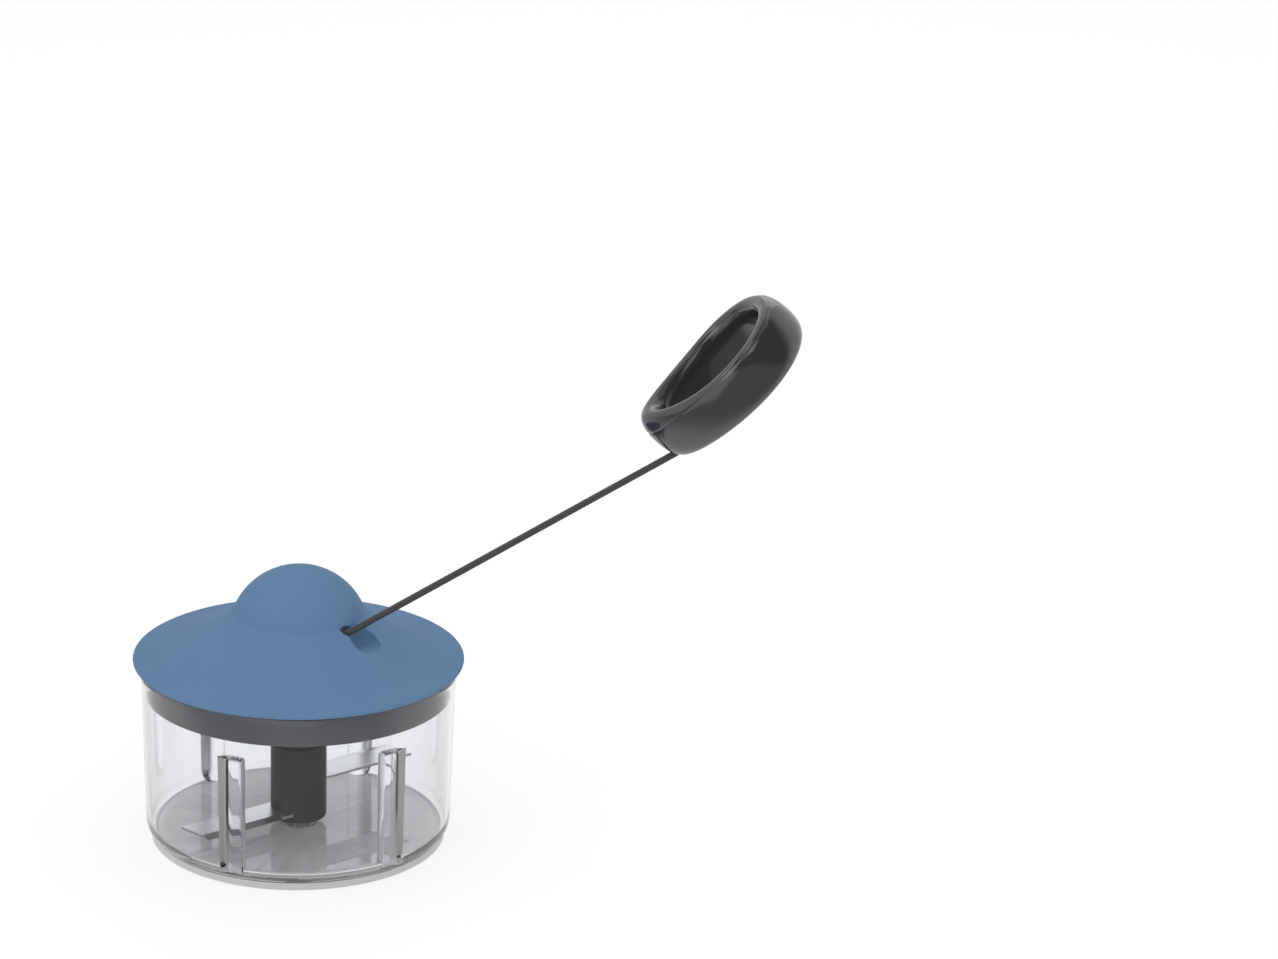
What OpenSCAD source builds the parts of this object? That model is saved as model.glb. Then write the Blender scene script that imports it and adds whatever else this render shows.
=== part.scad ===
// Pull-string food chopper: a clear bowl with a spinning blade unit, a broad
// brimmed lid that hides a cord reel, and a loop handle on the drawn cord.
// The origin is the centre of the base on the table, Z is up and the cord is
// drawn towards +X.

/* [Bowl] */
// Height of the bowl's rim above the table
bowl_h = 70; // [68:0.5:76]
// Outer radius of the bowl at its rim
bowl_r = 60.1; // [58.5:0.1:64]
// Wall of the clear bowl
bowl_wall = 1.6; // [1.4:0.1:2]
// How much narrower the bowl is low down than at its rim
bowl_draft = 1.7; // [1.2:0.1:2.2]
// Outer radius of the bowl's lower corner
bowl_corner = 6; // [5:0.5:8]
// Width of each upright rib inside the bowl
rib_w = 8.6; // [7:0.2:12]
// How far each rib stands in from the wall
rib_depth = 6; // [4:0.2:6.2]
// Height of the rib tops above the table
rib_top = 52; // [44:1:54]

/* [Blades] */
// Radius of the blade unit's hub
hub_r = 10.75; // [10.2:0.05:12]
// Width of a blade
blade_w = 15; // [12:0.5:16]
// Thickness of a blade
blade_t = 1; // [0.8:0.1:1.4]
// Direction of the lower blade at rest
blade_angle = -145; // [-160:1:-130]

/* [Lid] */
// How far the brim stands out past the bowl's rim
brim_over = 2.9; // [2:0.1:4]
// Outer radius of the dome on the lid
dome_r = 26.9; // [26.4:0.1:28.5]
// Height of the dome's centre above the brim's underside
dome_up = 10.3; // [9.8:0.1:12]
// Radius of the hollow curve between dome and brim
flare_r = 74; // [66:1:90]
// Wall of the lid
lid_wall = 2.4; // [2:0.1:2.6]
// Depth of the grey band inside the bowl's rim
band_h = 12.4; // [11:0.2:13]

/* [Cord] */
// Thickness of the cord
cord_d = 2.6; // [2.2:0.1:2.7]
// Slope of the drawn cord above the table
cord_slope = 30.6; // [27:0.1:34]
// Length of cord between the lid's scoop and the handle
cord_out = 138; // [120:1:155]

/* [Handle] */
// Length of the loop handle
handle_l = 70; // [67:0.5:74]
// Width of the loop handle
handle_w = 44; // [41:0.5:47]
// Height of the loop along its hole
handle_t = 20; // [18:0.5:22]
// Slope of the handle's long axis above the table
handle_pitch = 49; // [46:0.5:52]
// Tilt of the loop towards the front
handle_roll = 6.5; // [2:0.5:10]

/* [Hidden] */
// Roundness of true circles
$fn = 96;
// Clearance between pieces that slide past each other
gap = 0.3;
// Running clearance of a shaft in its bush
run = 0.06;
// Overlap used where cutters leave a face
eps = 0.4;

// Bowl
foot_t = 1.5;
foot_lip = 3;
floor_t = 3;
floor_z = foot_t + floor_t;
bowl_low_r = bowl_r - bowl_draft;
bowl_in_r = bowl_r - bowl_wall;
bowl_low_in = bowl_low_r - bowl_wall;
rib_angles = [-116, -52, 64, 128];
rib_in = bowl_low_in - rib_depth;
boss_r = 7;
boss_z = floor_z + 2.5;
foot_out = bowl_low_r - 2;

// Blade unit
pin_r = 3;
pin_low = foot_t + 1.2;
pin_top = 25.5;
bush_wall = 2;
bush_r = pin_r + run + bush_wall;
hub_z = boss_z + 0.5;
hub_top = 38;
bush_top = 26;
web_z = 26.6;
socket_z = 28.6;
hex_af = 10;
hex_r = hex_af / sqrt(3);
hex_gap = 0.08;
blade_in = bush_r + 1;
blade_reach = rib_in - 1.6;
blade_end = sqrt(blade_reach * blade_reach - blade_w * blade_w / 4);
blade_low_z = 10.5;
blade_up_z = 22.5;
blade_slant = 2.4;
bevel = 14;

// Lid levels
seal_t = 1;
brim_z = bowl_h + seal_t;
edge_t = 2.2;
lid_r = bowl_r + brim_over;
flare_end = [lid_r - edge_t / 2, brim_z + edge_t];
dome_z = brim_z + dome_up;
crease_r = dome_r * 0.937;
crease_z = dome_z + sqrt(dome_r * dome_r - crease_r * crease_r);
flare_start = [crease_r, crease_z];
chord = flare_end - flare_start;
chord_l = norm(chord);
flare_mid = (flare_end + flare_start) / 2;
flare_lift = sqrt(flare_r * flare_r - chord_l * chord_l / 4);
flare_c = flare_mid + flare_lift * [-chord[1], chord[0]] / chord_l;
brim_under = 9;
cave_r = lid_r - brim_under;
skirt_z = brim_z - band_h;
skirt_r = bowl_in_r - bowl_draft * band_h / bowl_h - gap;
skirt_t = 2;
deck_t = 2.5;
deck_z = skirt_z + deck_t;
post_r = 4;
post_ring = 40;
post_angles = [45, 135, 225, 315];
screw_r = 1.45;
screw_hole = 1.5;
screw_free = 1.8;
head_r = 3;
head_t = 1.3;
screw_l = 10;

// Reel
drum_z = dome_z - 2.3;
drum_h = 12.5;
flange_t = 1.5;
drum_top = drum_z + drum_h;
reel_room = 10;
drum_r = dome_r - reel_room;
wind_r = drum_r + cord_d / 2 + 0.1;
flange_out = 3.6;
flange_r = drum_r + flange_out;
flange_top_out = 2.6;
flange_top_r = drum_r + flange_top_out;
drum_wall = 2.2;
drum_hub_r = 8.6;
cord_z = drum_top - flange_t - cord_d / 2 - 0.1;
wind_turns = 2.2;
wind_pitch = cord_d + 0.45;
wind_rings = 24;
wind_count = floor(wind_turns * wind_rings);
wind_lag = 1;
cup_in = 26;
cup_out = 28;
plate_t = 1;
plate_z = drum_z - 1 - plate_t;
plate_hole = 9.5;
tower_up = 4;
tower_z = deck_z + tower_up;
neck_r = 7;
sleeve_z = hub_top + 0.5;
sleeve_top = skirt_z - 1;
bush_flange_z = skirt_z - 0.6;
bush_out = 9;
dog_z = socket_z + 0.4;
hex_in = 6.5;
hex_top = drum_z + hex_in;
cross_r = 1.5;
cross_l = 15;
cross_z = drum_z + 3.2;
axle_r = 2;
axle_low = hex_top + 1;
axle_seat = 3.5;
axle_top = dome_z + dome_r - lid_wall - axle_seat;
axle_post_r = 5.5;
axle_post_z = drum_top + 1.5;
washer_t = 1;
washer_r = 4.8;

// Rewind spring
spring_t = 0.5;
spring_z = tower_z + 1.2;
spring_h = plate_z - spring_z - 1;
spring_in = neck_r + 0.8;
spring_turns = 6;
spring_steps = 24;

// Cord exit
exit_y = -wind_r;
scoop_r = 6.4;
scoop_wall = 2.4;
scoop_out = 5.3;
scoop_side = 0.7;
scoop_deep = 6;
scoop_z = cord_z - scoop_deep;
scoop_x = sqrt(dome_r * dome_r - exit_y * exit_y) + scoop_out;
scoop_y = exit_y - scoop_side;
guide_r = 8.7;
boss_clear = flange_r + 1;
eye_x = sqrt(boss_clear * boss_clear - exit_y * exit_y) + 1.2;
eye_l = 4;
eye_r = 2.75;
eye_bore = cord_d / 2 + 0.45;
eye_mouth = 2.4;
turn_r = 6;
turn_x = eye_x + eye_l + 0.5;
lead_steps = 6;
cord_sides = 8;
wind_sides = 6;
draw_rings = 24;

// Cord route beyond the scoop
draw_dir = [cos(cord_slope), 0, sin(cord_slope)];
draw_start = [turn_x + turn_r * sin(cord_slope), exit_y, cord_z + turn_r * (1 - cos(cord_slope))];
nose_in = 3.7;
draw_l = cord_out + nose_in;
bend_at = draw_start + draw_l * draw_dir;

// Route of the cord from the drum through the eyelet and round its bend
lead_route = concat(
    [for (x = [0.2, eye_x / 2, eye_x, eye_x + eye_l]) [x, exit_y, cord_z]],
    [for (i = [0 : lead_steps]) [
        turn_x + turn_r * sin(cord_slope * i / lead_steps),
        exit_y,
        cord_z + turn_r * (1 - cos(cord_slope * i / lead_steps))
    ]]
);
lead_slope = concat([0, 0, 0, 0], [for (i = [0 : lead_steps]) cord_slope * i / lead_steps]);

// Handle, measured in its own length, width and hole directions
nose_l = 12;
tail_l = 10;
side_l = 6;
nose_swell = 0.37;
nose_under = -0.05;
egg = 0.25;
squareness = 0.85;
loop_rings = 48;
body_sides = 13;
cap_sides = 7;
seam_n = handle_t * 0.35;
bend_u = -handle_l / 2 + 3.4;
bend_n = -7.73;
knot_slope = 100;
knot_up = 6;
knot_r = 2.2;
knot_l = 4;
knot_room = 0.25;
along = [cos(handle_pitch), 0, sin(handle_pitch)];
upward = [
    -sin(handle_pitch) * cos(handle_roll),
    -sin(handle_roll),
    cos(handle_pitch) * cos(handle_roll)
];
handle_c = bend_at - bend_u * along - bend_n * upward;
knot_dir = [cos(knot_slope), 0, sin(knot_slope)];
knot_at = bend_at + knot_up * knot_dir;
bend_half = (knot_slope - cord_slope) / 2;
bend_over = 1.5;
bore_gap = 0.2;

// Route of the drawn cord from the scoop to the bend in the handle's nose and up to its knot
cord_gap = 0.1;
draw_route = concat(
    [for (i = [0 : draw_rings])
        draw_start + (cord_gap + (draw_l - cord_gap) * i / draw_rings) * draw_dir],
    [knot_at - (knot_l / 2 + cord_gap) * knot_dir]
);

// Upward direction of the cord's section at each point of that route, mitred at the bend
draw_up = concat(
    [for (i = [0 : draw_rings - 1]) [-sin(cord_slope), 0, cos(cord_slope)]],
    [[-sin(cord_slope + bend_half), 0, cos(cord_slope + bend_half)] / cos(bend_half)],
    [[-sin(knot_slope), 0, cos(knot_slope)]]
);

// Half outline of a round-cornered bowl: low radius, rim radius, floor, rim height, corner
module bowl_outline(low_r, rim_r, z0, z1, corner) {
    polygon([
        [0, z0], [low_r - corner, z0], [low_r - corner, z0 + corner],
        [low_r, z0 + corner], [rim_r, z1], [0, z1]
    ]);
    intersection() {
        translate([low_r - corner, z0 + corner])
            circle(r = corner);
        translate([low_r - corner, z0])
            square([corner, corner]);
    }
}

module bowl() {
    color([0.86, 0.88, 0.9, 0.35])
    difference() {
        union() {
            rotate_extrude()
                difference() {
                    bowl_outline(bowl_low_r, bowl_r, foot_t, bowl_h, bowl_corner);
                    translate([0, eps])
                        bowl_outline(bowl_low_in, bowl_in_r, floor_z - eps, bowl_h, bowl_corner - bowl_wall);
                }
            translate([0, 0, floor_z - eps])
                cylinder(r = boss_r, h = boss_z - floor_z + eps);
            for (a = rib_angles)
                rotate([0, 0, a])
                    bowl_rib();
        }
        translate([0, 0, pin_low])
            cylinder(r = pin_r, h = bowl_h);
    }
}

// One upright rib with a rounded inner face, run into wall and floor
module bowl_rib() {
    intersection() {
        translate([0, 0, floor_z - eps])
            linear_extrude(height = rib_top - floor_z + eps) {
                translate([rib_in + rib_w / 4, -rib_w / 2])
                    square([bowl_r - rib_in, rib_w]);
                translate([rib_in, -rib_w / 4])
                    square([rib_w / 2, rib_w / 2]);
                for (s = [-1, 1])
                    translate([rib_in + rib_w / 4, s * rib_w / 4])
                        circle(r = rib_w / 4);
            }
        rotate_extrude()
            bowl_outline(
                bowl_low_r - bowl_wall / 2, bowl_r - bowl_wall / 2,
                floor_z - 2 * eps, bowl_h, bowl_corner - bowl_wall / 2
            );
    }
}

module foot_pad() {
    color([0.82, 0.84, 0.85])
    rotate_extrude()
        difference() {
            square([foot_out, foot_lip]);
            translate([0, foot_t])
                square([bowl_low_r - bowl_corner, foot_lip]);
            translate([bowl_low_r - bowl_corner, foot_t + bowl_corner])
                circle(r = bowl_corner + 0.05);
        }
}

module pivot_pin() {
    color([0.75, 0.76, 0.78])
    translate([0, 0, pin_low]) {
        cylinder(r = pin_r, h = pin_top - pin_low - 1);
        translate([0, 0, pin_top - pin_low - 1])
            cylinder(r1 = pin_r, r2 = pin_r - 1, h = 1);
    }
}

// Plan of one blade along +X, with a slanted tip
module blade_plan() {
    polygon([
        [blade_in, -blade_w / 2], [blade_end, -blade_w / 2],
        [blade_end - blade_slant, blade_w / 2], [blade_in, blade_w / 2]
    ]);
}

// One flat blade with a ground cutting edge on its leading side
module blade_at(z, a) {
    rotate([0, 0, a])
    translate([0, 0, z])
        difference() {
            linear_extrude(height = blade_t)
                blade_plan();
            translate([hub_r + 1.5, blade_w / 2, blade_t / 8])
                rotate([-bevel, 0, 0])
                    translate([0, -blade_w, 0])
                        cube([blade_end, blade_w, blade_w]);
        }
}

module blade_hub() {
    color([0.26, 0.27, 0.28])
    difference() {
        translate([0, 0, hub_z])
            cylinder(r = hub_r, h = hub_top - hub_z);
        translate([0, 0, hub_z - eps])
            cylinder(r = bush_r, h = web_z - hub_z + eps);
        translate([0, 0, socket_z])
            cylinder(r = hex_r + hex_gap, h = hub_top, $fn = 6);
        for (b = [[blade_low_z, 0], [blade_up_z, 180]])
            rotate([0, 0, blade_angle + b[1]])
                translate([0, 0, b[0]])
                    linear_extrude(height = blade_t)
                        blade_plan();
    }
}

module hub_bush() {
    color([0.9, 0.89, 0.85])
    translate([0, 0, hub_z])
        difference() {
            cylinder(r = bush_r, h = bush_top - hub_z);
            translate([0, 0, -eps])
                cylinder(r = pin_r + run, h = bush_top);
        }
}

module lower_blade() {
    color([0.72, 0.72, 0.72])
    blade_at(blade_low_z, blade_angle);
}

module upper_blade() {
    color([0.72, 0.72, 0.72])
    blade_at(blade_up_z, blade_angle + 180);
}

// Half outline of the lid's outside: brim, hollow flare and dome
module lid_outline() {
    difference() {
        polygon([
            [0, brim_z], [flare_end[0], brim_z], flare_end, flare_start, [0, crease_z]
        ]);
        translate(flare_c)
            circle(r = flare_r);
    }
    translate([flare_end[0], brim_z + edge_t / 2])
        circle(r = edge_t / 2);
    intersection() {
        translate([0, dome_z])
            circle(r = dome_r);
        translate([0, brim_z])
            square([dome_r + 1, 2 * dome_r]);
    }
}

// Half outline of the hollow under the lid
module lid_hollow() {
    difference() {
        translate([0, brim_z - eps])
            square([cave_r, crease_z - brim_z + eps]);
        translate(flare_c)
            circle(r = flare_r + lid_wall);
    }
    intersection() {
        translate([0, dome_z])
            circle(r = dome_r - lid_wall);
        translate([0, brim_z - eps])
            square([dome_r, 2 * dome_r]);
    }
}

// Posts, axle seat and cord guide that stand inside the lid
module lid_inner_forms() {
    for (a = post_angles)
        rotate([0, 0, a])
            translate([post_ring, 0, deck_z])
                cylinder(r = post_r, h = dome_r);
    translate([0, 0, axle_post_z])
        cylinder(r = axle_post_r, h = dome_r);
    difference() {
        union() {
            translate([0, exit_y, cord_z])
                rotate([0, 90, 0])
                    cylinder(r = guide_r, h = scoop_x);
            translate([scoop_x, scoop_y, scoop_z - scoop_wall])
                cylinder(r = scoop_r + scoop_wall, h = dome_r);
        }
        cylinder(r = boss_clear, h = 4 * dome_r);
    }
}

module lid_cover() {
    color([0.39, 0.5, 0.63])
    difference() {
        union() {
            rotate_extrude()
                difference() {
                    lid_outline();
                    lid_hollow();
                }
            intersection() {
                union() {
                    rotate_extrude()
                        lid_outline();
                    translate([0, 0, deck_z])
                        cylinder(r = cave_r, h = brim_z - deck_z);
                }
                lid_inner_forms();
            }
        }
        translate([scoop_x, scoop_y, scoop_z])
            cylinder(r = scoop_r, h = dome_r);
        translate([0, exit_y, cord_z])
            rotate([0, 90, 0])
                cylinder(r = eye_r, h = scoop_x);
        for (a = post_angles)
            rotate([0, 0, a])
                translate([post_ring, 0, deck_z - eps])
                    cylinder(r = screw_hole, h = screw_l - deck_t + 1);
        translate([0, 0, axle_post_z - eps])
            cylinder(r = axle_r, h = axle_top - axle_post_z + eps);
    }
}

module lid_base() {
    color([0.37, 0.37, 0.39])
    difference() {
        rotate_extrude() {
            translate([bush_out, skirt_z])
                square([skirt_r - bush_out, deck_t]);
            translate([skirt_r - skirt_t, skirt_z])
                square([skirt_t, band_h]);
            translate([cup_in, skirt_z])
                square([cup_out - cup_in, plate_z - skirt_z]);
            translate([bush_out, skirt_z])
                square([skirt_t + 1, tower_z - skirt_z]);
        }
        for (a = post_angles)
            rotate([0, 0, a])
                translate([post_ring, 0, skirt_z - eps]) {
                    cylinder(r = screw_free, h = deck_t + 2 * eps);
                    cylinder(r = head_r + 0.2, h = head_t + eps);
                }
    }
}

module rim_seal() {
    color([0.8, 0.81, 0.82])
    translate([0, 0, bowl_h])
        difference() {
            cylinder(r = bowl_r - 0.3, h = seal_t);
            translate([0, 0, -eps])
                cylinder(r = bowl_in_r + 0.1, h = seal_t + 2 * eps);
        }
}

module cord_eyelet() {
    color([0.2, 0.21, 0.22])
    translate([eye_x, exit_y, cord_z])
        rotate([0, 90, 0])
            difference() {
                cylinder(r = eye_r, h = eye_l);
                translate([0, 0, -eps])
                    cylinder(r = eye_bore, h = eye_l + 2 * eps);
                translate([0, 0, eye_l / 2])
                    cylinder(r1 = eye_bore, r2 = eye_mouth, h = eye_l / 2 + 0.01);
            }
}

module cover_screws() {
    color([0.7, 0.71, 0.73])
    for (a = post_angles)
        rotate([0, 0, a])
            translate([post_ring, 0, skirt_z])
                difference() {
                    union() {
                        cylinder(r = head_r, h = head_t);
                        cylinder(r = screw_r, h = screw_l);
                    }
                    translate([0, 0, -eps])
                        cylinder(r = screw_r, h = head_t / 2 + eps, $fn = 6);
                }
}

module axle_pin() {
    color([0.75, 0.76, 0.78])
    translate([0, 0, axle_low])
        cylinder(r = axle_r, h = axle_top - axle_low);
}

module axle_washer() {
    color([0.78, 0.77, 0.72])
    translate([0, 0, axle_post_z - washer_t])
        difference() {
            cylinder(r = washer_r, h = washer_t);
            translate([0, 0, -eps])
                cylinder(r = axle_r, h = washer_t + 2 * eps);
        }
}

module lower_bush() {
    color([0.9, 0.89, 0.85])
    difference() {
        union() {
            translate([0, 0, bush_flange_z])
                cylinder(r = bush_out + 1.2, h = skirt_z - bush_flange_z);
            translate([0, 0, bush_flange_z])
                cylinder(r = bush_out, h = tower_z - bush_flange_z);
        }
        translate([0, 0, bush_flange_z - eps])
            cylinder(r = neck_r + run, h = tower_z);
    }
}

module spring_plate() {
    color([0.72, 0.73, 0.75])
    translate([0, 0, plate_z])
        difference() {
            cylinder(r = cup_out, h = plate_t);
            translate([0, 0, -eps])
                cylinder(r = plate_hole, h = plate_t + 2 * eps);
        }
}

// Radius of the rewind spring's strip at a step along its turns
function spring_radius(i) = spring_in
    + (cup_in - spring_t / 2 - 0.05 - spring_in) * i / (spring_turns * spring_steps);

// Point of the strip's inner or outer face at a step
function spring_point(i, side) = (spring_radius(i) + side * spring_t / 2)
    * [cos(360 * i / spring_steps), sin(360 * i / spring_steps)];

module rewind_spring() {
    color([0.6, 0.61, 0.63])
    translate([0, 0, spring_z])
        linear_extrude(height = spring_h)
            polygon(concat(
                [for (i = [0 : spring_turns * spring_steps]) spring_point(i, 1)],
                [for (i = [spring_turns * spring_steps : -1 : 0]) spring_point(i, -1)]
            ));
}

module cord_drum() {
    color([0.88, 0.87, 0.83])
    difference() {
        rotate_extrude() {
            translate([0, drum_z])
                square([flange_r, flange_t]);
            translate([0, drum_top - flange_t])
                square([flange_top_r, flange_t]);
            translate([drum_r - drum_wall, drum_z])
                square([drum_wall, drum_h]);
            translate([0, drum_z])
                square([drum_hub_r, drum_h]);
        }
        translate([0, 0, drum_z - eps])
            cylinder(r = hex_r, h = hex_top - drum_z + 0.2 + eps, $fn = 6);
        translate([0, 0, hex_top])
            cylinder(r = axle_r + run, h = drum_h);
        translate([-cross_l / 2, 0, cross_z])
            rotate([0, 90, 0])
                cylinder(r = cross_r, h = cross_l);
    }
}

module drive_shaft() {
    color([0.26, 0.27, 0.28])
    difference() {
        union() {
            translate([0, 0, dog_z])
                cylinder(r = hex_r, h = sleeve_z - dog_z + eps, $fn = 6);
            translate([0, 0, sleeve_z])
                cylinder(r = hub_r, h = sleeve_top - sleeve_z);
            translate([0, 0, sleeve_top - eps])
                cylinder(r = neck_r, h = drum_z - sleeve_top + eps);
            translate([0, 0, drum_z - eps])
                cylinder(r = hex_r, h = hex_top - drum_z + eps, $fn = 6);
        }
        translate([-cross_l / 2, 0, cross_z])
            rotate([0, 90, 0])
                cylinder(r = cross_r, h = cross_l);
    }
}

module shaft_pin() {
    color([0.75, 0.76, 0.78])
    translate([-cross_l / 2, 0, cross_z])
        rotate([0, 90, 0])
            cylinder(r = cross_r, h = cross_l);
}

// Points of a tube: centres, side directions, lift directions, radius, sides
function tube_points(c, s, n, r, k) = [
    for (i = [0 : len(c) - 1])
        for (j = [0 : k - 1])
            c[i] + r * (cos(360 * j / k) * s[i] + sin(360 * j / k) * n[i])
];

// Faces of a tube with closed ends
function tube_faces(m, k) = concat(
    [for (i = [0 : m - 2]) for (j = [0 : k - 1])
        [i * k + j, (i + 1) * k + j, (i + 1) * k + (j + 1) % k]],
    [for (i = [0 : m - 2]) for (j = [0 : k - 1])
        [i * k + j, (i + 1) * k + (j + 1) % k, i * k + (j + 1) % k]],
    [[for (j = [0 : k - 1]) j]],
    [[for (j = [k - 1 : -1 : 0]) (m - 1) * k + j]]
);

// Winding angle of the stored cord at a ring
function wind_angle(i) = -90 - wind_lag - 360 * (wind_count - i) / wind_rings;
// Centre of the stored cord at a ring, on the drum
function wind_centre(i) = [
    wind_r * cos(wind_angle(i)),
    wind_r * sin(wind_angle(i)),
    cord_z - wind_pitch * (wind_count - i) / wind_rings
];

// Least gap between turns of the stored cord, measured on its points
wind_route = [for (i = [0 : wind_count]) wind_centre(i)];
wind_self_gap = min([
    for (i = [0 : wind_count]) for (j = [i + wind_rings / 2 : wind_count])
        norm(wind_route[i] - wind_route[j])
]) - cord_d;
echo(wind_self_gap = wind_self_gap);

module wound_cord() {
    color([0.28, 0.29, 0.3])
    polyhedron(
        points = tube_points(
            wind_route,
            [for (i = [0 : wind_count])
                [cos(wind_angle(i)), sin(wind_angle(i)), 0]],
            [for (i = [0 : wind_count]) [0, 0, -1]],
            cord_d / 2, wind_sides
        ),
        faces = tube_faces(wind_count + 1, wind_sides)
    );
}

module cord_lead() {
    color([0.28, 0.29, 0.3])
    polyhedron(
        points = tube_points(
            lead_route,
            [for (a = lead_slope) [0, 1, 0]],
            [for (a = lead_slope) [-sin(a), 0, cos(a)]],
            cord_d / 2, cord_sides
        ),
        faces = tube_faces(len(lead_route), cord_sides)
    );
}

module pull_cord() {
    color([0.28, 0.29, 0.3])
    polyhedron(
        points = tube_points(
            draw_route,
            [for (p = draw_route) [0, 1, 0]],
            draw_up,
            cord_d / 2, cord_sides
        ),
        faces = tube_faces(len(draw_route), cord_sides)
    );
}

// Half height of the loop's section at an angle round the loop, above and below its middle
function loop_half(t, swell) = handle_t / 2 * (1 + swell * pow(max(0, -cos(t)), 2));

// Rounded-square versions of cosine and sine
function soft_cos(f) = sign(cos(f)) * pow(abs(cos(f)), squareness);
function soft_sin(f) = sign(sin(f)) * pow(abs(sin(f)), squareness);

// Section angle at which the loop's skin meets the seam
function seam_angle(t) = asin(pow(seam_n / loop_half(t, nose_swell), 1 / squareness));

// Outer and inner edge of the loop in plan
function loop_wide(t) = sin(t) * (1 + egg * cos(t));
function loop_out(t) = [handle_l / 2 * cos(t), handle_w / 2 * loop_wide(t)];
function loop_in(t) = [
    (nose_l - tail_l) / 2 + (handle_l - nose_l - tail_l) / 2 * cos(t),
    (handle_w / 2 - side_l) * loop_wide(t)
];

// Point of the loop's skin: angle round the loop, angle round the section
function loop_point(t, f) = concat(
    (loop_out(t) + loop_in(t)) / 2 + soft_cos(f) * (loop_out(t) - loop_in(t)) / 2,
    soft_sin(f) * loop_half(t, sin(f) > 0 ? nose_swell : nose_under)
);

// Faces of a closed ring of sections
function ring_faces(m, k) = concat(
    [for (i = [0 : m - 1]) for (j = [0 : k - 1])
        [i * k + j, ((i + 1) % m) * k + (j + 1) % k, ((i + 1) % m) * k + j]],
    [for (i = [0 : m - 1]) for (j = [0 : k - 1])
        [i * k + j, i * k + (j + 1) % k, ((i + 1) % m) * k + (j + 1) % k]]
);

// Puts a form drawn in the handle's own directions where the handle is held
module at_handle() {
    translate(handle_c)
        rotate([handle_roll, -handle_pitch, 0])
            children();
}

// Puts a form drawn along Z at the knot, along the cord
module at_knot() {
    translate(knot_at)
        rotate([0, 90 - knot_slope, 0])
            children();
}

// Puts a form drawn along Z at the cord's bend in the nose, along the drawn cord
module at_bend() {
    translate(bend_at)
        rotate([0, 90 - cord_slope, 0])
            children();
}

module handle_body() {
    color([0.27, 0.27, 0.28])
    difference() {
        at_handle()
            polyhedron(
                points = [for (i = [0 : loop_rings - 1]) for (k = [0 : body_sides])
                    let (t = 360 * i / loop_rings, fs = seam_angle(t))
                    loop_point(t, 180 - fs + (180 + 2 * fs) * k / body_sides)],
                faces = ring_faces(loop_rings, body_sides + 1)
            );
        at_bend()
            translate([0, 0, -nose_l])
                cylinder(r = cord_d / 2 + bore_gap, h = nose_l + bend_over);
        at_knot()
            translate([0, 0, -knot_up - bend_over])
                cylinder(r = cord_d / 2 + bore_gap, h = knot_up + bend_over);
        at_knot()
            translate([0, 0, -knot_l / 2 - knot_room])
                cylinder(r = knot_r + knot_room, h = knot_l + 2 * knot_room);
    }
}

module handle_cap() {
    color([0.3, 0.3, 0.31])
    at_handle()
        polyhedron(
            points = [for (i = [0 : loop_rings - 1]) for (k = [0 : cap_sides])
                let (t = 360 * i / loop_rings, fs = seam_angle(t))
                loop_point(t, fs + (180 - 2 * fs) * k / cap_sides)],
            faces = ring_faces(loop_rings, cap_sides + 1)
        );
}

module cord_knot() {
    color([0.24, 0.25, 0.26])
    at_knot()
        translate([0, 0, -knot_l / 2])
            cylinder(r = knot_r, h = knot_l);
}

bowl();
foot_pad();
pivot_pin();
blade_hub();
hub_bush();
lower_blade();
upper_blade();
lid_cover();
lid_base();
rim_seal();
cord_eyelet();
cover_screws();
axle_pin();
axle_washer();
lower_bush();
spring_plate();
rewind_spring();
cord_drum();
drive_shaft();
shaft_pin();
wound_cord();
cord_lead();
pull_cord();
handle_body();
handle_cap();
cord_knot();
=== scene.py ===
# %% [markdown]
# # A pull-string food chopper
# The real object is a clear plastic bowl with a blade unit standing in it, a hat-shaped blue lid that hides a
# cord reel, and a loop handle on the drawn cord. The imported model already holds every piece at its real size,
# so this lesson only dresses it: it loads that model as a fixed frame, in metres, and works round it. Keeping
# the frame's box from the start lets us print at the end how far the dressing's box differs from it.

# %% Load the fixed frame
import math

import bmesh
import bpy
import numpy as np
from mathutils import Matrix, Vector


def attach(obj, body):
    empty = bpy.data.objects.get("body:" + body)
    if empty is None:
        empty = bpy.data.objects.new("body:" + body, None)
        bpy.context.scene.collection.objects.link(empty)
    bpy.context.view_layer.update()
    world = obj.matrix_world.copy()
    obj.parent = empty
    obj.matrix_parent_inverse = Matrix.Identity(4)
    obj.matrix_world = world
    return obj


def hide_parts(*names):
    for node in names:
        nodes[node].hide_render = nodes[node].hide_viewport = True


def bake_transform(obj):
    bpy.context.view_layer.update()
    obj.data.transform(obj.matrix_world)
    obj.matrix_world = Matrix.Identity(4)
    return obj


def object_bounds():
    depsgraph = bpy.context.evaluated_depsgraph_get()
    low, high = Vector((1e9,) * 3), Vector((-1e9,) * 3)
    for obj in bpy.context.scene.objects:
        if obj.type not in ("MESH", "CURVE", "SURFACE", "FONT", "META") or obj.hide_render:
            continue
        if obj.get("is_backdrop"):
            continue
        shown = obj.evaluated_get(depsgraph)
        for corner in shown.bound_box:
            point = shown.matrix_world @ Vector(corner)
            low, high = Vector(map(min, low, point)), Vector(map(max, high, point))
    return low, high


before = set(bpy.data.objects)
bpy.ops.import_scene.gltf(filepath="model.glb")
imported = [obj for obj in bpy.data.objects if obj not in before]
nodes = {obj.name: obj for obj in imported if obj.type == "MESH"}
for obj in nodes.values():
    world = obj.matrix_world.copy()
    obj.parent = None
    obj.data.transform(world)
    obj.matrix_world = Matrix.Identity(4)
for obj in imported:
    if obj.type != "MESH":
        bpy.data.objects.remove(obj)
cad_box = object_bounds()
mm = 0.001

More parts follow.
